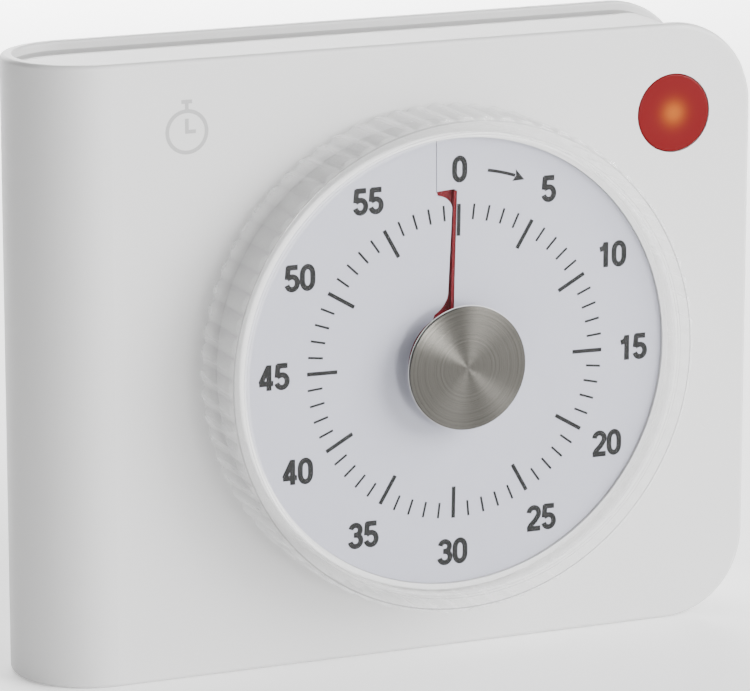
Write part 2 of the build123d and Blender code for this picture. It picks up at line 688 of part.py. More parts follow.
SWITCH_BACK = 23.4
for label, lift, travel in slider_places:
    stem_slot = SLIDER_STEM + 2 * travel + 0.4
    with BuildPart() as switch_body:
        with BuildSketch(PANEL.offset(-BOARD_FRONT - BOARD_SHEET)):
            with Locations((SLIDER_X, lift)):
                Rectangle(stem_slot + 2 * SWITCH_WALL, SWITCH_HEIGHT)
        extrude(amount=-(SWITCH_BACK - BOARD_FRONT - BOARD_SHEET))
        with BuildSketch(PANEL.offset(-SLIDER_STEM_FRONT + 0.2)):
            with Locations((SLIDER_X, lift)):
                Rectangle(stem_slot, SLIDER_SLOT_HEIGHT)
        extrude(amount=-(SWITCH_BACK - SLIDER_STEM_FRONT + 0.2), mode=Mode.SUBTRACT)
    save(switch_body, f"{label}_switch")

    with BuildPart() as slider:
        with BuildSketch(PANEL.offset(-(BODY_DEPTH - SLIDER_POCKET_DEPTH + 0.1))):
            with Locations((SLIDER_X, lift)):
                RectangleRounded(KNOB_WIDTH, SLIDER_POCKET[1] - 2 * KNOB_LINE, KNOB_ROUND)
        extrude(amount=-(SLIDER_POCKET_DEPTH - 0.1))
        with BuildSketch(PANEL.offset(-BODY_DEPTH)):
            with Locations((SLIDER_X - 1.0, lift), (SLIDER_X, lift), (SLIDER_X + 1.0, lift)):
                Rectangle(KNOB_LINE, SLIDER_POCKET[1] - 5 * KNOB_LINE)
        extrude(amount=0.3, mode=Mode.SUBTRACT)
        with BuildSketch(PANEL.offset(-SLIDER_STEM_FRONT)):
            with Locations((SLIDER_X, lift)):
                Rectangle(SLIDER_STEM, SLIDER_STEM)
        extrude(amount=-(BODY_DEPTH - SLIDER_POCKET_DEPTH + 0.1 - SLIDER_STEM_FRONT))
    save(slider, f"{label}_slider")

# ================================================================== battery box
tray_back = BODY_DEPTH - WALL
with BuildPart() as battery_tray:
    with BuildSketch(PANEL.offset(-TRAY_FRONT)):
        with Locations((BATTERY_X, 0)):
            Rectangle(TRAY_WIDTH, TRAY_LENGTH)
    extrude(amount=-(tray_back - TRAY_FRONT))
    with BuildSketch(PANEL.offset(-TRAY_FRONT - TRAY_WALL)):
        with Locations((BATTERY_X, 0)):
            Rectangle(TRAY_WIDTH - 2 * TRAY_WALL, TRAY_LENGTH - 2 * TRAY_WALL)
    extrude(amount=-tray_back, mode=Mode.SUBTRACT)
save(battery_tray, "battery_tray")

inner_end = TRAY_LENGTH / 2 - TRAY_WALL
contact_end = inner_end - CONTACT_SHEET
cell_top = contact_end - CELL_NUB
spring_height = contact_end - (CELL_BODY - cell_top)
with BuildPart() as battery_plates:
    for side in (-1, 1):
        for x, _ in cell_places:
            with BuildSketch(PANEL.offset(-(cell_depth - 5.0))):
                with Locations((x, side * (inner_end - CONTACT_SHEET / 2))):
                    Rectangle(9.0, CONTACT_SHEET)
            extrude(amount=-10.0)
save(battery_plates, "battery_plates")

cell_planes = [
    Plane(
        origin=(x, PANEL_Y + cell_depth, HEIGHT / 2 + up * (cell_top - CELL_BODY)),
        x_dir=(1, 0, 0),
        z_dir=(0, 0, up),
    )
    for x, up in cell_places
]
with BuildPart() as battery_cells:
    for foot in cell_planes:
        with BuildSketch(foot):
            Circle(CELL_RADIUS - 0.05)
        extrude(amount=CELL_BODY)
    fillet(battery_cells.edges().filter_by(GeomType.CIRCLE), 0.5)
    for foot in cell_planes:
        with BuildSketch(foot.offset(CELL_BODY)):
            Circle(2.75)
        extrude(amount=CELL_NUB)
save(battery_cells, "battery_cells")

SPRING_WIRE = 0.3
SPRING_RADIUS = 3.6
spring_pitch = (spring_height - 2 * SPRING_WIRE) / 3
springs = []
for foot in cell_planes:
    coil_foot = foot.offset(-spring_height + SPRING_WIRE)
    with BuildPart() as spring:
        with BuildLine() as wire:
            Helix(
                pitch=spring_pitch,
                height=spring_height - 2 * SPRING_WIRE,
                radius=SPRING_RADIUS,
                center=coil_foot.origin,
                direction=foot.z_dir,
            )
        with BuildSketch(Plane(origin=wire.line @ 0, z_dir=wire.line % 0)):
            Circle(SPRING_WIRE)
        sweep(path=wire.line)
    springs.append(spring.part)
with BuildPart() as battery_springs:
    add(springs)
save(battery_springs, "battery_springs")

door_width = OPENING_WIDTH - 2 * COVER_GAP
door_length = OPENING_LENGTH - 2 * COVER_GAP
with BuildPart() as battery_cover:
    with BuildSketch(rear_plane):
        with Locations((BATTERY_X, 0)):
            RectangleRounded(door_width, door_length, 2.0 - COVER_GAP)
    extrude(amount=WALL - 0.1)
    # Finger catch at the top edge and grip lines under it.
    with BuildSketch(rear_plane):
        grip_top = door_length / 2 - DOOR_GRIP_INSET
        grip_lines = [(BATTERY_X, grip_top - DOOR_GRIP_PITCH * line) for line in range(DOOR_GRIP_LINES)]
        with Locations(*grip_lines):
            Rectangle(*DOOR_GRIP)
    extrude(amount=0.4, mode=Mode.SUBTRACT)
save(battery_cover, "battery_cover")
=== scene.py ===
import json
import logging
import math
from dataclasses import dataclass
from enum import Enum

import bpy
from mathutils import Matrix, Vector

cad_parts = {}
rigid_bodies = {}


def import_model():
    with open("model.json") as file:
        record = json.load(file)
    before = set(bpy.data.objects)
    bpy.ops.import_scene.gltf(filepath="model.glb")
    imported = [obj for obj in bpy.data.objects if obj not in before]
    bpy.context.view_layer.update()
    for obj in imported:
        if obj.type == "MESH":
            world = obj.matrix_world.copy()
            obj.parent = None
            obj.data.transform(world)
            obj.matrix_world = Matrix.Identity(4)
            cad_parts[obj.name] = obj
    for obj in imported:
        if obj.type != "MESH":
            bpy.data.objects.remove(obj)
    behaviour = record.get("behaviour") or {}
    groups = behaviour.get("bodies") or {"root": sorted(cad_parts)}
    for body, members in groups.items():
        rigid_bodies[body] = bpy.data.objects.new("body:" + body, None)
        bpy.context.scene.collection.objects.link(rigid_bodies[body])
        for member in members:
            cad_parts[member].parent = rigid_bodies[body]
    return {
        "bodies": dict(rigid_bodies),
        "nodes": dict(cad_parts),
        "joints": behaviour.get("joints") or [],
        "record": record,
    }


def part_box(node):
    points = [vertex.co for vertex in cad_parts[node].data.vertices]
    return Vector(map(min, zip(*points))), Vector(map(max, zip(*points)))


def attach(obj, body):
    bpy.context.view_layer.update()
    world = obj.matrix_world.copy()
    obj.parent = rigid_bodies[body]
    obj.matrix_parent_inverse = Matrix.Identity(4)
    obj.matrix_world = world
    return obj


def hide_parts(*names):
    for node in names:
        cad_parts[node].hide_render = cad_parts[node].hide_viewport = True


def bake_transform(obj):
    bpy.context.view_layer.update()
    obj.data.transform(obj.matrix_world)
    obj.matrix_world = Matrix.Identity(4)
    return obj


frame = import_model()
log = logging.getLogger("desk_timer")

MM = 0.001
FULL_TURN = 2 * math.pi
MINUTES = 60
FLUTES = 72
WHITE = (1, 1, 1, 1)
GRAIN_RANGE = (0.3, 0.9)
GRAIN_RELIEF = 0.02

Colour = tuple[float, float, float]
Point = tuple[float, float]


def grey(level: float, warmth: float = 0.0) -> Colour:
    """A neutral colour, a little warmer or cooler than grey.

    Args:
        level: brightness, linear.
        warmth: how much red goes up and blue goes down.

    Returns:
        The linear colour.
    """
    return (level * (1 + warmth), level, level * (1 - warmth))


# ---------------------------------------------------------------------------- the frame's measures
@dataclass(frozen=True)
class DialPlane:
    """Places on the dial, in millimetres from its middle, as points of the frame in metres."""

    centre_x: float
    centre_z: float
    panel_y: float

    def at(self, across: float, up: float, ahead: float) -> Vector:
        """A point of the frame.

        Args:
            across: millimetres to the right of the dial's middle.
            up: millimetres above it.
            ahead: millimetres in front of the housing's panel.

        Returns:
            The point, in metres.
        """
        return Vector(
            (self.centre_x + across * MM, self.panel_y - ahead * MM, self.centre_z + up * MM)
        )

    def polar(self, radius: float, turn: float, ahead: float) -> Vector:
        """A point at a radius and a clockwise turn from the top, in millimetres and degrees."""
        angle = math.radians(turn)
        return self.at(radius * math.sin(angle), radius * math.cos(angle), ahead)


def dial_plane(frame: dict) -> DialPlane:
    """Reads the dial's middle from the joint that turns it.


    Returns:
        The dial's plane.
    """
    joint = next(j for j in frame["joints"] if j["name"] == "dial_turn")
    x, _, z = joint["pos_m"]
    front_of_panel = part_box("wrap_shell")[0].y
    return DialPlane(x, z, front_of_panel)


# ---------------------------------------------------------------------------- operators by hand
def deselect() -> None:
    """Leaves object mode with nothing selected."""
    if bpy.context.object and bpy.context.object.mode != "OBJECT":
        bpy.ops.object.mode_set(mode="OBJECT")
    bpy.ops.object.select_all(action="DESELECT")


def only(piece: bpy.types.Object) -> bpy.types.Object:
    """Selects one piece and makes it the active one."""
    deselect()
    piece.select_set(True)
    bpy.context.view_layer.objects.active = piece
    return piece


def settle(piece: bpy.types.Object, name: str) -> bpy.types.Object:
    """Names a piece and puts its place into its mesh.

    Args:
        piece: the object to finish.
        name: its new name.

    Returns:
        The same object.
    """
    only(piece)
    bpy.ops.object.transform_apply(location=True, rotation=True, scale=True)
    piece.name = name
    piece.data.name = name
    return piece


def smooth(piece: bpy.types.Object, degrees: float = 35.0) -> None:
    """Shades a piece smooth except at edges sharper than an angle."""
    only(piece)
    bpy.ops.object.shade_smooth_by_angle(angle=math.radians(degrees))


def join(pieces: list[bpy.types.Object], name: str) -> bpy.types.Object:
    """Joins several objects into the first one.

    Args:
        pieces: the objects, at least one.
        name: the joined piece's name.

    Returns:
        The joined piece.
    """
    only(pieces[0])
    for piece in pieces[1:]:
        piece.select_set(True)
    if len(pieces) > 1:
        bpy.ops.object.join()
    return settle(bpy.context.object, name)


def mesh_object(
    name: str, points: list[Vector], edges: list[tuple[int, int]], faces: list[tuple[int, ...]]
) -> bpy.types.Object:
    """An object made straight from points, edges and faces.

    Args:
        name: the object's name.
        points: its points, in metres.
        edges: pairs of points.
        faces: rings of points.

    Returns:
        The new object.
    """
    mesh = bpy.data.meshes.new(name)
    mesh.from_pydata(points, edges, faces)
    piece = bpy.data.objects.new(name, mesh)
    bpy.context.collection.objects.link(piece)
    return piece


def outline_object(name: str, points: list[Vector], closed: bool) -> bpy.types.Object:
    """An object made of a line of edges, ready for an operator.

    Args:
        name: the object's name.
        points: the line's points.
        closed: whether the last point joins the first.

    Returns:
        The new object, active and selected.
    """
    edges = [(i, i + 1) for i in range(len(points) - 1)]
    if closed:
        edges.append((len(points) - 1, 0))
    return only(mesh_object(name, points, edges, []))


def rounded(points: list[Point], radii: list[float], steps: int = 5) -> list[Point]:
    """Rounds the corners of a closed outline with arcs.

    Args:
        points: the corners, in order.
        radii: one radius for each corner, 0 for a sharp one.
        steps: segments of each arc.

    Returns:
        The outline's points.
    """
    result: list[Point] = []
    count = len(points)
    for i, (corner, radius) in enumerate(zip(points, radii)):
        here = Vector(corner)
        if radius <= 0:
            result.append(corner)
            continue
        back = (Vector(points[i - 1]) - here).normalized()
        forth = (Vector(points[(i + 1) % count]) - here).normalized()
        half = back.angle(forth) / 2
        reach = radius / math.tan(half)
        centre = here + (back + forth).normalized() * (radius / math.sin(half))
        start = here + back * reach - centre
        end = here + forth * reach - centre
        for step in range(steps + 1):
            arm = start.slerp(end, step / steps, start).normalized() * radius
            result.append(tuple(centre + arm))
    return result


def lathe(
    name: str, plane: DialPlane, profile: list[Point], steps: int, closed: bool = True
) -> bpy.types.Object:
    """Spins a profile round the dial's axis.

    Args:
        name: the new piece's name.
        plane: the dial's plane.
        profile: (radius, ahead) points in millimetres.
        steps: segments of the full turn.
        closed: whether the profile closes on itself; an open one starts and ends on the axis.

    Returns:
        The new piece, with normals outwards.
    """
    piece = outline_object(name, [plane.at(r, 0, ahead) for r, ahead in profile], closed)
    bpy.ops.object.mode_set(mode="EDIT")
    bpy.ops.mesh.select_all(action="SELECT")
    bpy.ops.mesh.spin(
        steps=steps, angle=FULL_TURN, center=plane.at(0, 0, 0), axis=(0, 1, 0), use_auto_merge=True
    )
    bpy.ops.mesh.select_all(action="SELECT")
    bpy.ops.mesh.remove_doubles(threshold=0.001 * MM)
    bpy.ops.mesh.normals_make_consistent(inside=False)
    bpy.ops.object.mode_set(mode="OBJECT")
    return settle(piece, name)


def thicken(piece: bpy.types.Object, thickness: float) -> None:
    """Gives a flat piece a thickness towards the viewer, in millimetres."""
    only(piece)
    bpy.ops.object.mode_set(mode="EDIT")
    bpy.ops.mesh.select_all(action="SELECT")
    bpy.ops.mesh.extrude_region_move(
        TRANSFORM_OT_translate={"value": (0, -thickness * MM, 0)}
    )
    bpy.ops.mesh.select_all(action="SELECT")
    bpy.ops.mesh.normals_make_consistent(inside=False)
    bpy.ops.object.mode_set(mode="OBJECT")


def ribbon(points: list[Vector], width: float, ink: float, closed: bool = False) -> bpy.types.Object:
    """A flat printed stroke of even width along a line on a surface that faces the viewer.

    Args:
        points: the centre line, in the frame, in metres.
        width: millimetres.
        ink: the stroke's thickness, in millimetres.
        closed: whether the line is a loop.

    Returns:
        The stroke.
    """
    count = len(points)
    left: list[Vector] = []
    right: list[Vector] = []
    for i, point in enumerate(points):
        before = points[i - 1] if i or closed else point
        after = points[(i + 1) % count] if i + 1 < count or closed else point
        run = (after - before).normalized()
        side = Vector((-run.z, 0, run.x)) * (width * MM / 2)
        left.append(point + side)
        right.append(point - side)
    spans = count if closed else count - 1
    faces = [(i, (i + 1) % count, count + (i + 1) % count, count + i) for i in range(spans)]
    piece = mesh_object("stroke", left + right, [], faces)
    thicken(piece, ink)
    return piece


# ---------------------------------------------------------------------------- shader building
class Tree:
    """A short way to add and wire shader nodes."""

    def __init__(self, tree: bpy.types.NodeTree) -> None:
        """Keeps the tree.

        Args:
            tree: the node tree to build in.
        """
        self.tree = tree

    def add(self, kind: str, **values: object) -> bpy.types.Node:
        """Adds a node and sets it.

        Args:
            kind: the node's type name, without its ShaderNode prefix.
            values: inputs by their lower-case name, or the node's own properties.

        Returns:
            The node.
        """
        node = self.tree.nodes.new("ShaderNode" + kind)
        sockets = {s.name.lower().replace(" ", "_"): s for s in reversed(node.inputs)}
        for key, value in values.items():
            if isinstance(value, bpy.types.NodeSocket):
                self.tree.links.new(value, sockets[key])
            elif key in sockets:
                sockets[key].default_value = value
            else:
                setattr(node, key, value)
        return node

    def math(self, operation: str, a: object, b: object = 0.0, c: object = 0.0) -> bpy.types.NodeSocket:
        """Adds a math node.

        Args:
            operation: the operation's name.
            a: first number or socket.
            b: second number or socket.
            c: third number or socket.

        Returns:
            The result's socket.
        """
        node = self.tree.nodes.new("ShaderNodeMath")
        node.operation = operation
        for socket, value in zip(node.inputs, (a, b, c)):
            if isinstance(value, bpy.types.NodeSocket):
                self.tree.links.new(value, socket)
            else:
                socket.default_value = value
        return node.outputs[0]

    def blend(self, mask: bpy.types.NodeSocket, a: object, b: object) -> bpy.types.NodeSocket:
        """Mixes two colours by a mask.

        Args:
            mask: 0 for the first colour, 1 for the second.
            a: colour or socket.
            b: colour or socket.

        Returns:
            The mixed colour's socket.
        """
        node = self.tree.nodes.new("ShaderNodeMix")
        node.data_type = "RGBA"
        self.tree.links.new(mask, node.inputs[0])
        for socket, value in ((node.inputs[6], a), (node.inputs[7], b)):
            if isinstance(value, bpy.types.NodeSocket):
                self.tree.links.new(value, socket)
            else:
                socket.default_value = (*value, 1.0)
        return node.outputs[2]

    def remap(
        self, value: bpy.types.NodeSocket, low: float, high: float, a: float, b: float
    ) -> bpy.types.NodeSocket:
        """Maps a value's range to another.

        Args:
            value: the socket to map.
            low: where its range starts.
            high: where its range ends.
            a: what low becomes.
            b: what high becomes.

        Returns:
            The mapped value's socket.
        """
        node = self.add("MapRange", value=value, from_min=low, from_max=high, to_min=a, to_max=b)
        return node.outputs[0]


def moulding_group() -> bpy.types.NodeTree:
    """The fine grain of a moulded or cast surface, shared by most finishes.

    Returns:
        A node group with Mottle, a slow 0..1 drift, and Height, for bump.
    """
    existing = bpy.data.node_groups.get("moulded_grain")
    if existing:
        return existing
    group = bpy.data.node_groups.new("moulded_grain", "ShaderNodeTree")
    side = group.interface
    side.new_socket("Grain Size", in_out="INPUT", socket_type="NodeSocketFloat").default_value = 0.25
    side.new_socket("Drift Size", in_out="INPUT", socket_type="NodeSocketFloat").default_value = 18.0
    side.new_socket("Mottle", in_out="OUTPUT", socket_type="NodeSocketFloat")
    side.new_socket("Height", in_out="OUTPUT", socket_type="NodeSocketFloat")
    tree = Tree(group)
    start = group.nodes.new("NodeGroupInput")
    end = group.nodes.new("NodeGroupOutput")
    place = tree.add("TexCoord").outputs["Object"]
    grain_scale = tree.math("DIVIDE", 1.0 / MM, start.outputs["Grain Size"])
    drift_scale = tree.math("DIVIDE", 1.0 / MM, start.outputs["Drift Size"])
    fine = tree.add("TexNoise", vector=place, scale=grain_scale, detail=3.0, roughness=0.6)
    pits = tree.add("TexVoronoi", vector=place, scale=grain_scale, feature="SMOOTH_F1")
    drift = tree.add("TexNoise", vector=place, scale=drift_scale, detail=2.0)
    height = tree.math("MULTIPLY_ADD", pits.outputs["Distance"], 0.35, fine.outputs[0])
    group.links.new(drift.outputs[0], end.inputs["Mottle"])
    group.links.new(height, end.inputs["Height"])
    return group


@dataclass(frozen=True)
class Finish:
    """A moulded, cast, stamped or ground finish.

    The two colours drift into each other, the grain makes the bump, and the roughness follows it.
    """

    name: str
    colour: Colour
    second: Colour
    roughness: float = 0.45
    spread: float = 0.06
    grain: float = 0.25
    depth: float = 0.15
    drift: float = 18.0
    metallic: float = 0.0
    coat: float = 0.0
    specular: float = 0.5

    def shader(self) -> tuple[bpy.types.Material, Tree, bpy.types.Node, bpy.types.Node]:
        """Builds the common part of the finish.

        Returns:
            The material, its tree, the Principled node and the grain's group node.
        """
        material = bpy.data.materials.new(self.name)
        material.use_nodes = True
        tree = Tree(material.node_tree)
        shader = material.node_tree.nodes["Principled BSDF"]
        grain = material.node_tree.nodes.new("ShaderNodeGroup")
        grain.node_tree = moulding_group()
        grain.inputs["Grain Size"].default_value = self.grain
        grain.inputs["Drift Size"].default_value = self.drift
        links = material.node_tree.links
        links.new(tree.blend(grain.outputs["Mottle"], self.colour, self.second), shader.inputs["Base Color"])
        low, high = self.roughness - self.spread, self.roughness + self.spread
        links.new(tree.remap(grain.outputs["Height"], *GRAIN_RANGE, low, high), shader.inputs["Roughness"])
        relief = GRAIN_RELIEF * MM
        bump = tree.add("Bump", strength=self.depth, distance=relief, height=grain.outputs["Height"])
        links.new(bump.outputs[0], shader.inputs["Normal"])
        shader.inputs["Metallic"].default_value = self.metallic
        shader.inputs["Coat Weight"].default_value = self.coat
        shader.inputs["Specular IOR Level"].default_value = self.specular
        return material, tree, shader, grain

    def build(self) -> bpy.types.Material:
        """Builds the finish.

        Returns:
            The material.
        """
        return self.shader()[0]


@dataclass(frozen=True)
class TurnedSteel(Finish):
    """Steel faced in a lathe: fine rings round an axis and the fan of light that they make."""

    axis_x: float = 0.0
    axis_z: float = 0.0
    stretch: float = 0.94
    stretch_turn: float = 0.25
    fine_rings: float = 22.0
    broad_rings: float = 3.0
    broad_share: float = 0.18
    tone_range: Point = (0.42, 0.78)
    sheen_range: Point = (0.4, 0.8)
    ring_strength: float = 0.35
    ring_depth: float = 0.004

    def build(self) -> bpy.types.Material:
        """Builds the finish.

        Returns:
            The material.
        """
        material, tree, shader, _ = self.shader()
        links = material.node_tree.links
        place = tree.add("TexCoord").outputs["Object"]
        parts = tree.add("SeparateXYZ", vector=place)
        across = tree.math("SUBTRACT", parts.outputs[0], self.axis_x)
        up = tree.math("SUBTRACT", parts.outputs[2], self.axis_z)
        radius = tree.math(
            "SQRT", tree.math("ADD", tree.math("MULTIPLY", across, across), tree.math("MULTIPLY", up, up))
        )
        fine, coarse = self.fine_rings / MM, self.broad_rings / MM
        rings = tree.add("TexNoise", noise_dimensions="1D", w=radius, scale=fine, detail=4.0, roughness=0.75)
        broad = tree.add("TexNoise", noise_dimensions="1D", w=radius, scale=coarse, detail=2.0)
        both = tree.math("MULTIPLY_ADD", broad.outputs[0], self.broad_share, rings.outputs[0])
        tone = tree.remap(both, *self.tone_range, 0.0, 1.0)
        links.new(tree.blend(tone, self.colour, self.second), shader.inputs["Base Color"])
        high, low = self.roughness + self.spread, self.roughness - self.spread
        links.new(tree.remap(both, *self.sheen_range, high, low), shader.inputs["Roughness"])
        bump = tree.add("Bump", strength=self.ring_strength, distance=self.ring_depth * MM, height=both)
        links.new(bump.outputs[0], shader.inputs["Normal"])
        shader.inputs["Anisotropic"].default_value = self.stretch
        shader.inputs["Anisotropic Rotation"].default_value = self.stretch_turn
        tangent = tree.add("Tangent", direction_type="RADIAL", axis="Y")
        links.new(tangent.outputs[0], shader.inputs["Tangent"])
        return material


@dataclass(frozen=True)
class GlowingLens(Finish):
    """A red lens with the lamp behind it glowing through its middle."""

    centre: tuple[float, float, float] = (0.0, 0.0, 0.0)
    glow: Colour = (1.0, 0.4, 0.05)
    glow_radius: float = 2.6
    strength: float = 1.0

    def build(self) -> bpy.types.Material:
        """Builds the finish.

        Returns:
            The material.
        """
        material, tree, shader, _ = self.shader()
        links = material.node_tree.links
        place = tree.add("TexCoord").outputs["Object"]
        away = tree.add("VectorMath", operation="DISTANCE")
        links.new(place, away.inputs[0])
        away.inputs[1].default_value = self.centre
        reach = tree.math("DIVIDE", away.outputs["Value"], self.glow_radius * MM)
        fall = tree.math("EXPONENT", tree.math("MULTIPLY", tree.math("MULTIPLY", reach, reach), -1.0))
        body = tree.blend(fall, self.colour, self.glow)
        links.new(body, shader.inputs["Base Color"])
        light = tree.blend(fall, (0.0, 0.0, 0.0), self.glow)
        links.new(light, shader.inputs["Emission Color"])
        shader.inputs["Emission Strength"].default_value = self.strength
        return material


@dataclass(frozen=True)
class RimLine:
    """A thin circle of painted shade where a moulded corner of the cover turns the light aside."""

    radius: float
    half_width: float
    darkness: float


@dataclass(frozen=True)
class ClearPlastic(Finish):
    """Clear moulded acrylic, seen through more on the flat window than on the fluted grip."""

    plane: DialPlane | None = None
    alpha_facing: float = 0.05
    alpha_edge: float = 0.6
    # the lines and the valley setting are painted shade: dark rings at the moulded corners and dark flute
    # valleys
    lines: tuple[RimLine, ...] = ()
    line_front: float = 12.55
    flutes: int = 0
    flute_foot: float = 39.95
    valley: float = 0.3
    ridge_range: Point = (0.15, 0.9)
    line_colour: float = 0.035
    index: float = 1.49
    facing_blend: float = 0.35

    def line_mask(self, tree: Tree) -> bpy.types.NodeSocket:
        """Where painted shade darkens the corner lines on the front and the valleys between the flutes on
        the outside.

        Args:
            tree: the material's tree.

        Returns:
            A mask from 0 to 1.
        """
        place = tree.add("TexCoord").outputs["Object"]
        parts = tree.add("SeparateXYZ", vector=place)
        across = tree.math("SUBTRACT", parts.outputs[0], self.plane.centre_x)
        up = tree.math("SUBTRACT", parts.outputs[2], self.plane.centre_z)
        squares = tree.math("MULTIPLY_ADD", across, across, tree.math("MULTIPLY", up, up))
        radius = tree.math("SQRT", squares)
        mask: object = 0.0
        for line in self.lines:
            off = tree.math("ABSOLUTE", tree.math("SUBTRACT", radius, line.radius * MM))
            near = tree.remap(off, line.half_width * MM / 2, line.half_width * MM, line.darkness, 0.0)
            mask = tree.math("MAXIMUM", mask, near)
        limit = self.plane.panel_y - self.line_front * MM
        mask = tree.math("MULTIPLY", mask, tree.math("LESS_THAN", parts.outputs[1], limit))
        # painted shade in the valleys between the flutes
        turn = tree.math("ARCTAN2", across, up)
        ridge = tree.math("ABSOLUTE", tree.math("COSINE", tree.math("MULTIPLY", turn, self.flutes / 2)))
        shade = tree.remap(ridge, *self.ridge_range, self.valley, 0.0)
        outside = tree.math("GREATER_THAN", radius, self.flute_foot * MM)
        return tree.math("MAXIMUM", mask, tree.math("MULTIPLY", shade, outside))

    def build(self) -> bpy.types.Material:
        """Builds the finish.

        Returns:
            The material.
        """
        material, tree, shader, _ = self.shader()
        links = material.node_tree.links
        shader.inputs["IOR"].default_value = self.index
        facing = tree.add("LayerWeight", blend=self.facing_blend)
        alpha = tree.remap(facing.outputs["Facing"], 0.0, 1.0, self.alpha_facing, self.alpha_edge)
        if self.lines:
            # painted shade: the mask darkens the colour and makes the cover opaque along the corner lines
            # and flute valleys
            mask = self.line_mask(tree)
            body = shader.inputs["Base Color"].links[0].from_socket
            links.new(tree.blend(mask, body, grey(self.line_colour)), shader.inputs["Base Color"])
            alpha = tree.math("MAXIMUM", alpha, mask)
        links.new(alpha, shader.inputs["Alpha"])
        return material


# ---------------------------------------------------------------------------- sub-assemblies
@dataclass
class GripCover:
    """The clear cover: a flat window in a fluted ring that is turned by hand."""

    plane: DialPlane
    radius: float = 40.15
    wall: float = 2.0
    front: float = 13.0
    window: float = 1.2
    foot: float = 0.5
    hole: float = 4.0
    rows: tuple[float, ...] = (3.0, 6.5, 10.0)
    shoulder: float = 0.6
    window_radius: float = 37.3
    window_sink: float = 0.02
    foot_round: float = 0.3
    front_round: float = 0.35
    inner_round: float = 0.5
    flutes: int = FLUTES
    flute_depth: float = 0.62
    flute_shape: float = 0.8
    flute_band: float = 1.01
    fade_start: float = 12.5
    steps_per_flute: int = 10

    def profile(self) -> list[Point]:
        """The ring and window cut through the axis.

        Returns:
            (radius, ahead) points in millimetres.
        """
        inner = self.radius - self.wall
        back = self.front - self.window
        face = self.front - self.window_sink
        corners = [(self.radius, ahead) for ahead in (self.foot, *self.rows, self.front)]
        corners += [
            (inner - self.shoulder, self.front),
            (self.window_radius, face),
            (self.hole, face),
            (self.hole, back),
            (self.window_radius, back),
            (inner, back),
            (inner, self.foot),
        ]
        outer_radii = [self.foot_round, 0, 0, 0, self.front_round]
        radii = outer_radii + [0, 0, 0, 0, 0, self.inner_round, self.foot_round]
        return rounded(corners, radii)

    def flute(self, turn: float, ahead: float) -> float:
        """How far the grip stands out, in millimetres, at a turn in radians and a height."""
        ridge = abs(math.cos(self.flutes * turn / 2)) ** self.flute_shape
        fade = min(1.0, max(0.0, (self.front - ahead) / (self.front - self.fade_start)))
        return self.flute_depth * ridge * (fade * fade * (3 - 2 * fade))

    def build(self, clear: bpy.types.Material, grip: bpy.types.Material) -> bpy.types.Object:
        """Spins the profile, raises the flutes and dresses the piece.

        Args:
            clear: the window's finish.
            grip: the ring's finish.

        Returns:
            The finished cover.
        """
        piece = lathe("grip_cover", self.plane, self.profile(), self.flutes * self.steps_per_flute)
        for vertex in piece.data.vertices:
            across = vertex.co.x - self.plane.centre_x
            up = vertex.co.z - self.plane.centre_z
            radius = math.hypot(across, up)
            if radius > (self.radius - self.flute_band) * MM:
                ahead = (self.plane.panel_y - vertex.co.y) / MM
                out = self.flute(math.atan2(across, up), ahead) * MM
                share = (radius / MM - self.radius + self.flute_band) / self.flute_band
                grow = 1 + out * min(1.0, share) / radius
                vertex.co.x = self.plane.centre_x + across * grow
                vertex.co.z = self.plane.centre_z + up * grow
        piece.data.materials.append(clear)
        piece.data.materials.append(grip)
        for face in piece.data.polygons:
            across = face.center.x - self.plane.centre_x
            up = face.center.z - self.plane.centre_z
            face.material_index = int(math.hypot(across, up) > self.window_radius * MM)
        smooth(piece, degrees=38.0)
        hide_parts("clear_cover")
        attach(piece, "dial")
        return piece


@dataclass
class CentreCap:
    """The turned steel disc on its white seat."""

    plane: DialPlane
    radius: float = 10.1
    front: float = 13.6
    sheet: float = 0.5
    edge_round: float = 0.1
    seat_radius: float = 10.2
    seat_front: float = 13.1
    seat_back: float = 13.0
    seat_round: float = 0.04
    stem: float = 4.0
    stem_back: float = 11.8
    steps: int = 160

    def build(self, steel: bpy.types.Material, white: bpy.types.Material) -> list[bpy.types.Object]:
        """Spins both pieces.

        Args:
            steel: the disc's finish.
            white: the seat's finish.

        Returns:
            The disc and the seat.
        """
        back = self.front - self.sheet
        corners = [(self.radius, back), (self.radius, self.front), (0.0, self.front)]
        disc_profile = [(0.0, back)] + rounded(corners + [(0.0, back)], [0, self.edge_round, 0, 0])
        disc = lathe("centre_disc", self.plane, disc_profile[:-1], self.steps, closed=False)
        disc.data.materials.append(steel)
        smooth(disc, degrees=30.0)
        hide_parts("steel_cap")
        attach(disc, "dial")
        corners = [
            (self.stem, self.stem_back),
            (self.stem, self.seat_back),
            (self.seat_radius, self.seat_back),
            (self.seat_radius, self.seat_front),
        ]
        outline = rounded(corners, [0, 0, self.seat_round, self.seat_round], steps=2)
        ring = [(0.0, self.stem_back)] + outline + [(0.0, self.seat_front)]
        seat = lathe("cap_seat_moulding", self.plane, ring, self.steps, closed=False)
        seat.data.materials.append(white)
        smooth(seat, degrees=30.0)
        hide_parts("cap_seat")
        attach(seat, "dial")
        return [disc, seat]


@dataclass(frozen=True)
class Stroke:
    """One stroke of a numeral: its centre line, in a box one unit high and centred across."""

    points: tuple[Point, ...]
    closed: bool = False


def arc(
    cx: float, cy: float, rx: float, ry: float, start: float, end: float, steps: int = 14
) -> list[Point]:
    """Points of an elliptic arc.

    Args:
        cx: centre across.
        cy: centre up.
        rx: radius across.
        ry: radius up.
        start: first angle in degrees, counted from the right, anticlockwise.
        end: last angle.
        steps: segments.

    Returns:
        The points, both ends included.
    """
    angles = [math.radians(start + (end - start) * i / steps) for i in range(steps + 1)]
    return [(cx + rx * math.cos(a), cy + ry * math.sin(a)) for a in angles]


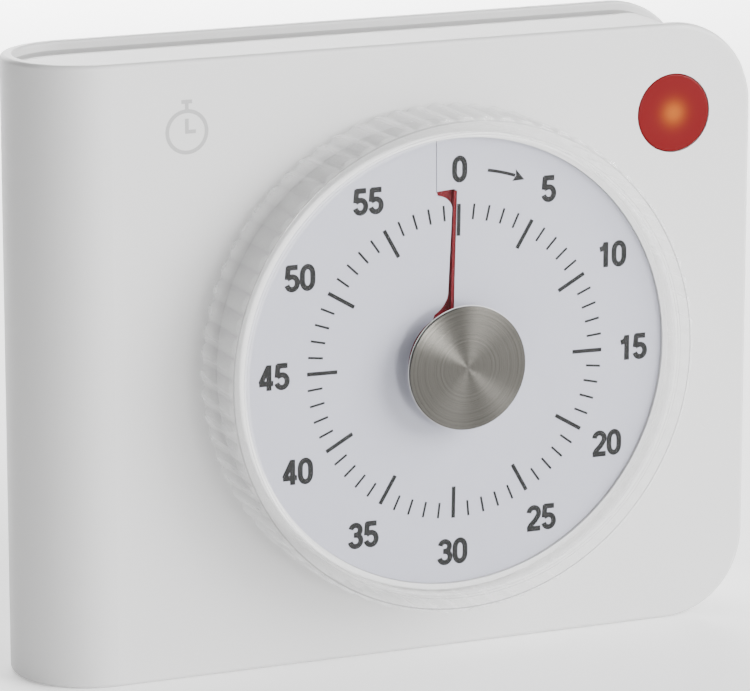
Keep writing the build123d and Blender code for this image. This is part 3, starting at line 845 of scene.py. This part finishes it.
def numeral_strokes(digit: str) -> list[Stroke]:
    """The centre lines of a plain condensed numeral.

    Args:
        digit: one of 0 to 5.

    Returns:
        Its strokes, in a box from 0 to 1 upwards and centred across.
    """
    half, low, high = 0.215, 0.075, 0.925
    waist = 0.30
    if digit == "0":
        top = arc(0, high - waist, half, waist, 0, 180)
        bottom = arc(0, low + waist, half, waist, 180, 360)
        return [Stroke(tuple(top + bottom), closed=True)]
    if digit == "1":
        return [
            Stroke(((0.07, 0.0), (0.07, 1.0))),
            Stroke(((-0.19, 0.715), (-0.07, 0.745), (0.02, 0.82), (0.05, 0.94))),
        ]
    if digit == "2":
        bowl = arc(0, 0.70, half, 0.225, 175, -30)
        return [
            Stroke(tuple(bowl + [(0.06, 0.40), (-0.13, 0.22), (-0.215, 0.065)])),
            Stroke(((-0.285, 0.07), (0.285, 0.07))),
        ]
    if digit == "3":
        upper = arc(-0.01, 0.725, 0.2, 0.2, 168, -80)
        lower = arc(-0.01, 0.305, 0.225, 0.23, 82, -170)
        return [Stroke(tuple(upper)), Stroke(tuple(lower)), Stroke(((-0.08, 0.53), (0.05, 0.53)))]
    if digit == "4":
        return [
            Stroke(((0.11, 0.0), (0.11, 1.0))),
            Stroke(((0.09, 0.93), (-0.235, 0.29))),
            Stroke(((-0.29, 0.275), (0.29, 0.275))),
        ]
    bowl = arc(0, 0.325, 0.22, 0.25, 118, -165)
    return [
        Stroke(((-0.20, 0.93), (0.235, 0.93))),
        Stroke(((-0.15, 0.99), (-0.195, 0.475))),
        Stroke(tuple([(-0.20, 0.49), (-0.14, 0.535)] + bowl)),
    ]


@dataclass
class PrintedDial:
    """The dial's print: minute ticks, numerals, and the arrow that says which way to wind."""

    plane: DialPlane
    face: float = 8.9
    ink: float = 0.025
    turn: float = 0.9
    tick_outer: float = 25.87
    long_inner: float = 20.67
    short_inner: float = 23.3
    long_width: float = 0.64
    short_width: float = 0.36
    numeral_radius: float = 31.5
    numeral_height: float = 4.15
    numeral_pitch: float = 2.66
    layer_step: float = 0.003
    stroke: float = 0.88
    arrow_radius: float = 31.4
    arrow_start: float = 9.9
    arrow_step: float = 0.7
    arrow_points: int = 14
    arrow_width: float = 0.52
    heart_turn: float = 19.3
    barb_turn: float = 18.6
    barb: float = 1.0
    tip_turn: float = 22.3
    tip_drop: float = 0.15
    slot_right: float = 0.02

    def tick(self, minute: int) -> bpy.types.Object:
        """One tick of the scale, long at every fifth minute."""
        long = minute % 5 == 0
        inner = self.long_inner if long else self.short_inner
        width = self.long_width if long else self.short_width
        turn = self.turn + 360.0 * minute / MINUTES
        ends = [self.plane.polar(r, turn, self.face) for r in (inner, self.tick_outer)]
        return ribbon(ends, width, self.ink)

    def number(self, minute: int) -> list[bpy.types.Object]:
        """The numeral for a minute, upright, at its place round the dial.

        Args:
            minute: 0 to 55 in fives.

        Returns:
            Its strokes.
        """
        text = str(minute)
        turn = math.radians(self.turn + 360.0 * minute / MINUTES)
        middle = (self.numeral_radius * math.sin(turn), self.numeral_radius * math.cos(turn))
        strokes = []
        for place, digit in enumerate(text):
            shift = (place - (len(text) - 1) / 2) * self.numeral_pitch
            for layer, stroke in enumerate(numeral_strokes(digit)):
                points = [
                    self.plane.at(
                        middle[0] + shift + x * self.numeral_height,
                        middle[1] + (y - 0.5) * self.numeral_height,
                        self.face + layer * self.layer_step,
                    )
                    for x, y in stroke.points
                ]
                strokes.append(ribbon(points, self.stroke, self.ink, stroke.closed))
        return strokes

    def arrow(self) -> list[bpy.types.Object]:
        """The curved arrow between the first two numerals.

        Returns:
            Its shaft and head.
        """
        turns = [self.arrow_start + self.arrow_step * i for i in range(self.arrow_points)]
        shaft = [self.plane.polar(self.arrow_radius, turn, self.face) for turn in turns]
        tip = self.plane.polar(self.arrow_radius - self.tip_drop, self.tip_turn, self.face)
        outer = self.plane.polar(self.arrow_radius + self.barb, self.barb_turn, self.face)
        inner = self.plane.polar(self.arrow_radius - self.barb, self.barb_turn, self.face)
        heart = self.plane.polar(self.arrow_radius, self.heart_turn, self.face)
        head = mesh_object("head", [tip, outer, heart, inner], [], [(0, 1, 2), (0, 2, 3)])
        thicken(head, self.ink)
        return [ribbon(shaft, self.arrow_width, self.ink), head]

    def clear_slot(self, piece: bpy.types.Object) -> None:
        """Cuts away the part of the first tick that the slot has taken.

        Args:
            piece: the first tick.
        """
        only(piece)
        bpy.ops.object.mode_set(mode="EDIT")
        bpy.ops.mesh.select_all(action="SELECT")
        bpy.ops.mesh.bisect(
            plane_co=self.plane.at(self.slot_right, 0, 0),
            plane_no=(-1, 0, 0),
            clear_outer=True,
            use_fill=True,
        )
        bpy.ops.object.mode_set(mode="OBJECT")

    def build(self, ink: bpy.types.Material) -> list[bpy.types.Object]:
        """Prints the whole dial.

        Args:
            ink: the print's finish.

        Returns:
            The printed pieces.
        """
        ticks = [self.tick(minute) for minute in range(MINUTES)]
        self.clear_slot(ticks[0])
        long = join([t for m, t in enumerate(ticks) if m % 5 == 0], "five_minute_ticks")
        short = join([t for m, t in enumerate(ticks) if m % 5], "minute_ticks")
        numerals = join([s for m in range(0, MINUTES, 5) for s in self.number(m)], "numerals")
        arrow = join(self.arrow(), "winding_arrow")
        pieces = [long, short, numerals, arrow]
        for piece in pieces:
            piece.data.materials.append(ink)
            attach(piece, "housing")
        return pieces


@dataclass
class RedSheet:
    """The part of the red sheet that is out in front of the dial.

    At rest it is a sliver in the slot. As the dial is wound up, three strips open one after the
    other, a third of a turn each, from the slot to the sheet's leading edge.
    """

    plane: DialPlane
    radius: float = 28.1
    inner: float = 7.4
    level: float = 8.99
    behind: float = 8.35
    thickness: float = 0.04
    edge: float = -0.05
    lean: float = 0.025
    strip: float = 0.16
    tuck: float = 0.12
    ride_over: float = 0.14
    columns: int = 84
    rows: int = 3
    tuck_steps: int = 6

    def column(self, share: float) -> tuple[float, float]:
        """Where a column stands across the slot at its foot and at its head, in millimetres."""
        head = self.edge + share
        return head - self.lean * (self.radius - self.inner), head

    def strip_mesh(
        self, name: str, left: float, right: float, tucked: bool, lift: float
    ) -> bpy.types.Object:
        """One strip, standing in the slot.

        Args:
            name: the strip's name.
            left: its left edge, in millimetres from the sheet's edge.
            right: its right edge.
            tucked: whether a margin on its left dips behind the dial.
            lift: how far its right edge stands ahead of its left, in millimetres.

        Returns:
            The strip.
        """
        shares = [left + (right - left) * i / self.columns for i in range(self.columns + 1)]
        levels = [self.level + lift * i / self.columns for i in range(self.columns + 1)]
        if tucked:
            steps = self.tuck_steps
            margin = [left - self.tuck * (steps - i) / steps for i in range(steps)]
            shares = margin + shares
            levels = [self.behind + (self.level - self.behind) * i / steps for i in range(steps)] + levels
        bpy.ops.mesh.primitive_grid_add(x_subdivisions=len(shares) - 1, y_subdivisions=self.rows, size=1)
        piece = bpy.context.object
        count = len(shares)
        in_rows = sorted(piece.data.vertices, key=lambda v: (round(v.co.y, 4), v.co.x))
        for index, vertex in enumerate(in_rows):
            row, step = divmod(index, count)
            foot, head = self.column(shares[step])
            top = math.sqrt(self.radius**2 - head**2)
            up = self.inner + (top - self.inner) * row / self.rows
            across = foot + (head - foot) * row / self.rows
            vertex.co = self.plane.at(across, up, levels[step])
        piece = settle(piece, name)
        thicken(piece, self.thickness)
        return piece

    def build(self, red: bpy.types.Material) -> list[bpy.types.Object]:
        """Makes the three strips, standing in the slot.

        Args:
            red: the sheet's finish.

        Returns:
            The strips.
        """
        bodies = ["housing", "leaf_1", "leaf_2", "leaf_3"]
        strips = len(bodies) - 1
        pieces = []
        for index in range(strips):
            left = -(strips - index) * self.strip
            right = left + self.strip
            lift = self.ride_over if index == strips - 1 else 0.0
            piece = self.strip_mesh(f"red_strip_{index + 1}", left, right, index == 0, lift)
            piece.data.materials.append(red)
            foot = self.plane.at(self.edge + left, self.radius, self.level)
            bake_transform(piece)
            pieces.append(piece)
        return pieces


@dataclass
class ClockMark:
    """A small generic clock pictogram, printed pale grey on the panel."""

    plane: DialPlane
    across: float = -42.4
    up: float = 39.2
    radius: float = 3.3
    line: float = 0.62
    ink: float = 0.02
    steps: int = 64
    overlap: float = 0.3
    minute_hand: float = 2.1
    hour_hand: float = 1.5
    stem: float = 1.2
    crown: float = 0.9
    crown_up: float = 1.5

    def bar(self, start: Point, end: Point) -> bpy.types.Object:
        """A straight printed line between two points, in millimetres from the mark's middle."""
        points = [self.plane.at(self.across + x, self.up + y, 0.0) for x, y in (start, end)]
        return ribbon(points, self.line, self.ink)

    def build(self, ink: bpy.types.Material) -> bpy.types.Object:
        """Prints the mark.

        Args:
            ink: the print's finish.

        Returns:
            The mark.
        """
        turns = [FULL_TURN * i / self.steps for i in range(self.steps)]
        rim = [
            self.plane.at(
                self.across + self.radius * math.sin(a), self.up + self.radius * math.cos(a), 0.0
            )
            for a in turns
        ]
        strokes = [
            ribbon(rim, self.line, self.ink, closed=True),
            self.bar((0, self.overlap), (0, self.minute_hand)),
            self.bar((-self.overlap, 0), (self.hour_hand, 0)),
            self.bar((0, self.radius + self.overlap), (0, self.radius + self.stem)),
            self.bar((-self.crown, self.radius + self.crown_up), (self.crown, self.radius + self.crown_up)),
        ]
        piece = join(strokes, "clock_mark")
        piece.data.materials.append(ink)
        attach(piece, "housing")
        return piece


@dataclass
class CadFinishes:
    """Puts a finish on every node that the CAD model keeps showing."""

    frame: dict

    def dress(self, name: str, material: bpy.types.Material) -> None:
        """Gives a node a material.

        Args:
            name: the node's name.
            material: the finish.
        """
        node = self.frame["nodes"][name]
        node.data.materials.clear()
        node.data.materials.append(material)

    def build(self, finishes: dict[str, bpy.types.Material]) -> None:
        """Dresses each node with the finish of its record slot.

        Args:
            finishes: materials by the record's slot.
        """
        for part in self.frame["record"]["subparts"]:
            self.dress(part["node"], finishes[part["material_slot"]])


class Softbox(Enum):
    """The studio's lights: place in metres, size in metres, power in watts."""

    KEY = ((0.95, -0.95, 0.65), (1.0, 1.0), 58.0)
    FILL = ((0.12, -1.4, 0.15), (0.28, 0.28), 13.0)
    TOP = ((0.1, 0.1, 1.2), (0.6, 0.4), 2.0)
    BACKDROP = ((0.15, 1.3, 0.45), (1.4, 0.5), 150.0)


@dataclass
class Studio:
    """Pale floor, soft lights and the camera."""

    target: tuple[float, float, float] = (-0.00482, -0.0062, 0.05207)
    camera_at: tuple[float, float, float] = (-0.3004, -0.6935, 0.2317)
    lens: float = 229.2
    sensor: float = 36.0
    sky: float = 0.22
    floor_reach: float = 6.0
    floor_glow: float = 0.3

    def aim(self, thing: bpy.types.Object) -> None:
        """Turns a light or the camera to face the object."""
        arm = Vector(self.target) - thing.location
        thing.rotation_euler = arm.to_track_quat("-Z", "Y").to_euler()

    def camera(self) -> None:
        """Adds the camera and makes it the scene's."""
        deselect()
        bpy.ops.object.camera_add(location=self.camera_at)
        camera = bpy.context.object
        camera.data.sensor_width = self.sensor
        camera.data.lens = self.lens
        self.aim(camera)
        bpy.context.scene.camera = camera

    def lights(self) -> None:
        """Adds the soft boxes and an even sky."""
        for box in Softbox:
            place, size, power = box.value
            deselect()
            bpy.ops.object.light_add(type="AREA", location=place)
            light = bpy.context.object
            light.name = box.name.lower() + "_light"
            light.data.shape = "RECTANGLE"
            light.data.size, light.data.size_y = size
            light.data.energy = power
            if box is not Softbox.BACKDROP:
                self.aim(light)
        world = bpy.data.worlds.new("studio_sky")
        world.use_nodes = True
        background = world.node_tree.nodes["Background"]
        background.inputs["Color"].default_value = WHITE
        background.inputs["Strength"].default_value = self.sky
        bpy.context.scene.world = world

    def floor(self, finish: bpy.types.Material) -> None:
        """Lays the floor.

        Args:
            finish: its material.
        """
        deselect()
        bpy.ops.mesh.primitive_plane_add(size=self.floor_reach)
        floor = bpy.context.object
        floor.name = "floor"
        floor.data.materials.append(finish)


def floor_material(glow: float) -> bpy.types.Material:
    """A pale floor that is almost as bright as the studio's walls.

    Args:
        glow: how much light of its own keeps it pale.

    Returns:
        The material.
    """
    material = Finish("pale_floor", grey(0.92), grey(0.95), roughness=0.8, spread=0.02).build()
    shader = material.node_tree.nodes["Principled BSDF"]
    shader.inputs["Emission Color"].default_value = WHITE
    shader.inputs["Emission Strength"].default_value = glow
    return material


def finish_table(plane: DialPlane) -> dict[str, bpy.types.Material]:
    """Every finish, by the record's slot that it belongs to.

    Args:
        plane: the dial's plane, for the finishes that are centred on it.

    Returns:
        The materials.
    """
    lens_low, lens_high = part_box("signal_lens")
    lens_centre = ((lens_low.x + lens_high.x) / 2, lens_low.y, (lens_low.z + lens_high.z) / 2)
    finishes = {
        "housing_white": Finish(
            "housing_white", grey(0.52, 0.004), grey(0.54, 0.002), 0.5, 0.05, 0.16, 0.12, 40.0,
        ),
        "frame_white": Finish(
            "frame_white", grey(0.47, 0.008), grey(0.49, 0.006), 0.5, 0.05, 0.16, 0.12, 40.0,
        ),
        "base_white": Finish("base_white", grey(0.58), grey(0.60), 0.3, 0.04, 0.3, 0.05, 30.0),
        # the dial's white is set darker than the housing's: its own pale blue white, with painted shade for
        # the shade it lies in under the clear window
        "dial_white": Finish(
            "dial_white", (0.355, 0.36, 0.418), (0.37, 0.375, 0.433), 0.6, 0.05, 0.1, 0.08, 25.0,
        ),
        "red_sheet": Finish(
            "red_sheet", (0.10, 0.0008, 0.004), (0.12, 0.001, 0.005), 0.5, 0.05, 0.12, 0.08, specular=0.15,
        ),
        "turned_steel": TurnedSteel(
            "turned_steel", (0.05, 0.048, 0.043), (0.125, 0.12, 0.108), 0.24, 0.08, 0.1, 0.05,
            metallic=1.0, axis_x=plane.centre_x, axis_z=plane.centre_z,
        ),
        "clear_plastic": ClearPlastic(
            "clear_window", grey(0.40), grey(0.42), 0.04, 0.01, 0.6, 0.01, 60.0,
            alpha_facing=0.004, alpha_edge=0.04,
        ),
        "red_lens": GlowingLens(
            "red_lens", (0.105, 0.0001, 0.0012), (0.115, 0.0002, 0.0016), 0.3, 0.03, 0.3, 0.03,
            specular=0.12, centre=lens_centre, glow=(0.26, 0.06, 0.002), glow_radius=1.9, strength=0.22,
        ),
        "lamp_epoxy": Finish(
            "lamp_epoxy", (0.9, 0.5, 0.2), (0.92, 0.55, 0.25), 0.12, 0.03, 0.4, 0.03, coat=0.5,
        ),
        "bright_steel": Finish(
            "bright_steel", grey(0.62), grey(0.68), 0.2, 0.05, 0.12, 0.1, 6.0, metallic=1.0,
        ),
        "gear_acetal": Finish(
            "gear_acetal", (0.82, 0.80, 0.72), (0.85, 0.83, 0.76), 0.38, 0.05, 0.2, 0.1, 9.0,
        ),
        "rotor_dark": Finish("rotor_dark", grey(0.03), grey(0.05), 0.45, 0.1, 0.15, 0.3, 4.0),
        "stator_steel": Finish(
            "stator_steel", grey(0.42), grey(0.5), 0.32, 0.08, 0.1, 0.2, 5.0, metallic=1.0,
        ),
        "coil_copper": Finish(
            "coil_copper", (0.42, 0.12, 0.04), (0.55, 0.18, 0.06), 0.3, 0.08, 0.1, 0.3, 3.0, metallic=0.8,
        ),
        "movement_plastic": Finish(
            "movement_plastic", grey(0.045), grey(0.06), 0.42, 0.06, 0.2, 0.15, 12.0,
        ),
        "zinc_steel": Finish(
            "zinc_steel", grey(0.5, 0.01), grey(0.6, 0.02), 0.3, 0.08, 0.12, 0.15, 3.0, metallic=1.0,
        ),
        "board_green": Finish(
            "board_green", (0.012, 0.10, 0.035), (0.02, 0.13, 0.05), 0.28, 0.05, 0.3, 0.1, 8.0, coat=0.3,
        ),
        "buzzer_black": Finish("buzzer_black", grey(0.012), grey(0.02), 0.4, 0.06, 0.2, 0.15, 6.0),
        "switch_black": Finish("switch_black", grey(0.015), grey(0.022), 0.4, 0.06, 0.2, 0.15, 6.0),
        "slider_grey": Finish("slider_grey", grey(0.10), grey(0.12), 0.5, 0.06, 0.15, 0.25, 5.0),
        "contact_nickel": Finish(
            "contact_nickel", grey(0.6, 0.02), grey(0.66, 0.03), 0.2, 0.06, 0.12, 0.1, 4.0, metallic=1.0,
        ),
        "cell_sleeve": Finish(
            "cell_sleeve", (0.02, 0.03, 0.055), (0.03, 0.045, 0.075), 0.25, 0.05, 0.3, 0.05, 15.0, coat=0.4,
        ),
    }
    return {slot: finish.build() for slot, finish in finishes.items()}


def grip_finish(plane: DialPlane) -> bpy.types.Material:
    """The fluted ring's clear finish, with painted shade on its corner lines and in its valleys.

    Args:
        plane: the dial's plane.

    Returns:
        The material.
    """
    # painted shade circles at the cover's moulded corners: radius, half width, darkness
    lines = (RimLine(39.95, 0.17, 0.8), RimLine(38.2, 0.12, 0.5), RimLine(37.75, 0.10, 0.4))
    return ClearPlastic(
        "clear_grip", grey(0.93), grey(0.96), 0.1, 0.02, 0.5, 0.02, 60.0,
        plane=plane, flutes=FLUTES, alpha_facing=0.11, alpha_edge=0.5, lines=lines,
    ).build()


def main() -> None:
    """Builds the looks round the frame."""
    logging.basicConfig(level=logging.INFO, format="%(message)s")
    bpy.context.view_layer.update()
    plane = dial_plane(frame)
    studio = Studio()
    studio.camera()
    studio.lights()
    studio.floor(floor_material(studio.floor_glow))

    finishes = finish_table(plane)
    CadFinishes(frame).build(finishes)
    grip = grip_finish(plane)
    black = (grey(0.006, -0.02), grey(0.009, -0.02))
    ink = Finish("dial_ink", *black, 0.6, 0.05, 0.08, 0.1, 6.0, specular=0.2).build()
    mark = Finish("panel_ink", grey(0.29), grey(0.31), 0.5, 0.05, 0.08, 0.1, 6.0).build()

    built = [GripCover(plane).build(finishes["clear_plastic"], grip)]
    built += CentreCap(plane).build(finishes["turned_steel"], finishes["base_white"])
    built += PrintedDial(plane).build(ink)
    built += RedSheet(plane).build(finishes["red_sheet"])
    built.append(ClockMark(plane).build(mark))
    for piece in built:
        log.info("built %s: %d faces", piece.name, len(piece.data.polygons))


if __name__ == "__main__":
    main()
